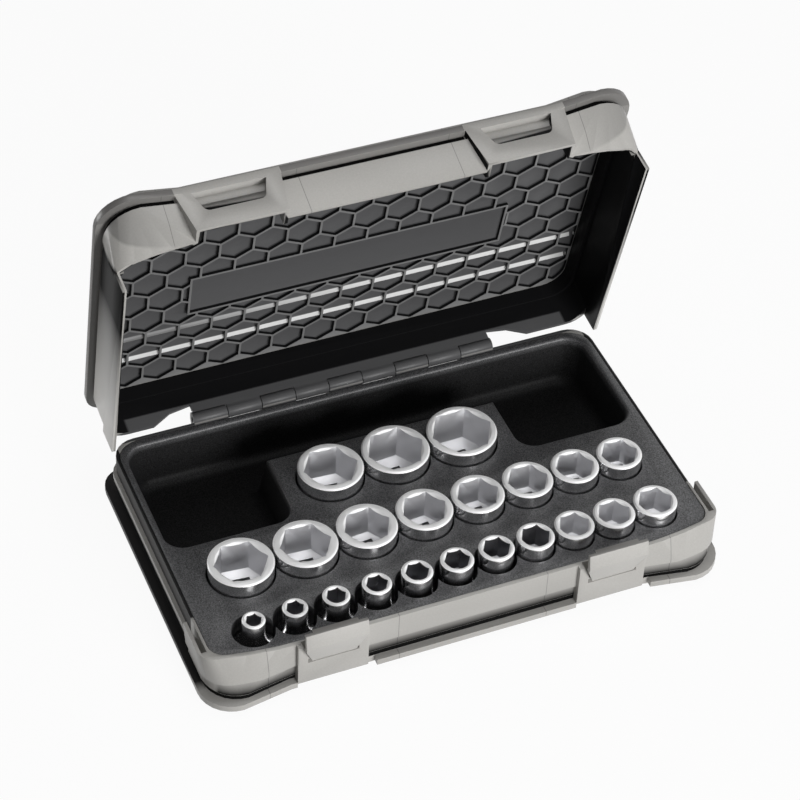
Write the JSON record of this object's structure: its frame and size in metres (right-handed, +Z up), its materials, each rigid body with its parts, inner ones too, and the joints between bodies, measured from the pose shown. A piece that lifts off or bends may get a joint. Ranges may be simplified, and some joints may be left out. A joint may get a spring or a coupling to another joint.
{
  "type": "socket wrench set in case",
  "caption": "Hinged plastic tool case with a ribbed lid, flip latches and a moulded insert that seats rows of hexagon drive sockets and has open storage bins.",
  "frame": {"origin": "centre of the underside of the case's base", "axes": "+X to the right seen from the latches, +Y to the hinge, +Z up"},
  "size_m": [0.314, 0.2259, 0.2298],
  "materials": {
    "case_plastic": "moulded satin grey",
    "insert_plastic": "moulded, grained",
    "latch_plastic": "moulded satin grey",
    "pin_steel": "drawn",
    "socket_chrome": "polished chrome plate"
  },
  "bodies": {
    "case": {"base_shell": "case_plastic", "tray_insert": "insert_plastic", "bin_tub": "insert_plastic", "socket_wells": "insert_plastic", "hinge_pin": "pin_steel"},
    "lid": {"lid_shell": "case_plastic"},
    "latch_left": {"latch_left": "latch_plastic"},
    "latch_right": {"latch_right": "latch_plastic"},
    "socket_08": {"socket_08": "socket_chrome"},
    "socket_09": {"socket_09": "socket_chrome"},
    "socket_10": {"socket_10": "socket_chrome"},
    "socket_11": {"socket_11": "socket_chrome"},
    "socket_12": {"socket_12": "socket_chrome"},
    "socket_13": {"socket_13": "socket_chrome"},
    "socket_14": {"socket_14": "socket_chrome"},
    "socket_15": {"socket_15": "socket_chrome"},
    "socket_16": {"socket_16": "socket_chrome"},
    "socket_17": {"socket_17": "socket_chrome"},
    "socket_18": {"socket_18": "socket_chrome"},
    "socket_19": {"socket_19": "socket_chrome"},
    "socket_20": {"socket_20": "socket_chrome"},
    "socket_21": {"socket_21": "socket_chrome"},
    "socket_22": {"socket_22": "socket_chrome"},
    "socket_23": {"socket_23": "socket_chrome"},
    "socket_24": {"socket_24": "socket_chrome"},
    "socket_26": {"socket_26": "socket_chrome"},
    "socket_27": {"socket_27": "socket_chrome"},
    "socket_28": {"socket_28": "socket_chrome"},
    "socket_30": {"socket_30": "socket_chrome"},
    "socket_32": {"socket_32": "socket_chrome"}
  },
  "joints": [
    {"name": "lid_hinge", "type": "hinge", "parent": "case", "child": "lid", "pos_m": [0, 0.0929, 0.03725], "axis": [-1, 0, 0], "range_deg": [-76.2, 25]},
    {"name": "latch_left_pivot", "type": "hinge", "parent": "case", "child": "latch_left", "pos_m": [-0.0838, -0.0924, 0.0258], "axis": [1, 0, 0], "range_deg": [-5, 70]},
    {"name": "latch_right_pivot", "type": "hinge", "parent": "case", "child": "latch_right", "pos_m": [0.0838, -0.0924, 0.0258], "axis": [1, 0, 0], "range_deg": [-5, 70]},
    {"name": "socket_08_lift", "type": "slide", "parent": "case", "child": "socket_08", "axis": [0, 0, 1], "range_m": [0, 0.045]},
    {"name": "socket_09_lift", "type": "slide", "parent": "case", "child": "socket_09", "axis": [0, 0, 1], "range_m": [0, 0.045]},
    {"name": "socket_10_lift", "type": "slide", "parent": "case", "child": "socket_10", "axis": [0, 0, 1], "range_m": [0, 0.045]},
    {"name": "socket_11_lift", "type": "slide", "parent": "case", "child": "socket_11", "axis": [0, 0, 1], "range_m": [0, 0.045]},
    {"name": "socket_12_lift", "type": "slide", "parent": "case", "child": "socket_12", "axis": [0, 0, 1], "range_m": [0, 0.045]},
    {"name": "socket_13_lift", "type": "slide", "parent": "case", "child": "socket_13", "axis": [0, 0, 1], "range_m": [0, 0.045]},
    {"name": "socket_14_lift", "type": "slide", "parent": "case", "child": "socket_14", "axis": [0, 0, 1], "range_m": [0, 0.045]},
    {"name": "socket_15_lift", "type": "slide", "parent": "case", "child": "socket_15", "axis": [0, 0, 1], "range_m": [0, 0.045]},
    {"name": "socket_16_lift", "type": "slide", "parent": "case", "child": "socket_16", "axis": [0, 0, 1], "range_m": [0, 0.045]},
    {"name": "socket_17_lift", "type": "slide", "parent": "case", "child": "socket_17", "axis": [0, 0, 1], "range_m": [0, 0.045]},
    {"name": "socket_18_lift", "type": "slide", "parent": "case", "child": "socket_18", "axis": [0, 0, 1], "range_m": [0, 0.045]},
    {"name": "socket_19_lift", "type": "slide", "parent": "case", "child": "socket_19", "axis": [0, 0, 1], "range_m": [0, 0.045]},
    {"name": "socket_20_lift", "type": "slide", "parent": "case", "child": "socket_20", "axis": [0, 0, 1], "range_m": [0, 0.045]},
    {"name": "socket_21_lift", "type": "slide", "parent": "case", "child": "socket_21", "axis": [0, 0, 1], "range_m": [0, 0.045]},
    {"name": "socket_22_lift", "type": "slide", "parent": "case", "child": "socket_22", "axis": [0, 0, 1], "range_m": [0, 0.045]},
    {"name": "socket_23_lift", "type": "slide", "parent": "case", "child": "socket_23", "axis": [0, 0, 1], "range_m": [0, 0.045]},
    {"name": "socket_24_lift", "type": "slide", "parent": "case", "child": "socket_24", "axis": [0, 0, 1], "range_m": [0, 0.045]},
    {"name": "socket_26_lift", "type": "slide", "parent": "case", "child": "socket_26", "axis": [0, 0, 1], "range_m": [0, 0.045]},
    {"name": "socket_27_lift", "type": "slide", "parent": "case", "child": "socket_27", "axis": [0, 0, 1], "range_m": [0, 0.045]},
    {"name": "socket_28_lift", "type": "slide", "parent": "case", "child": "socket_28", "axis": [0, 0, 1], "range_m": [0, 0.045]},
    {"name": "socket_30_lift", "type": "slide", "parent": "case", "child": "socket_30", "axis": [0, 0, 1], "range_m": [0, 0.045]},
    {"name": "socket_32_lift", "type": "slide", "parent": "case", "child": "socket_32", "axis": [0, 0, 1], "range_m": [0, 0.045]}
  ]
}
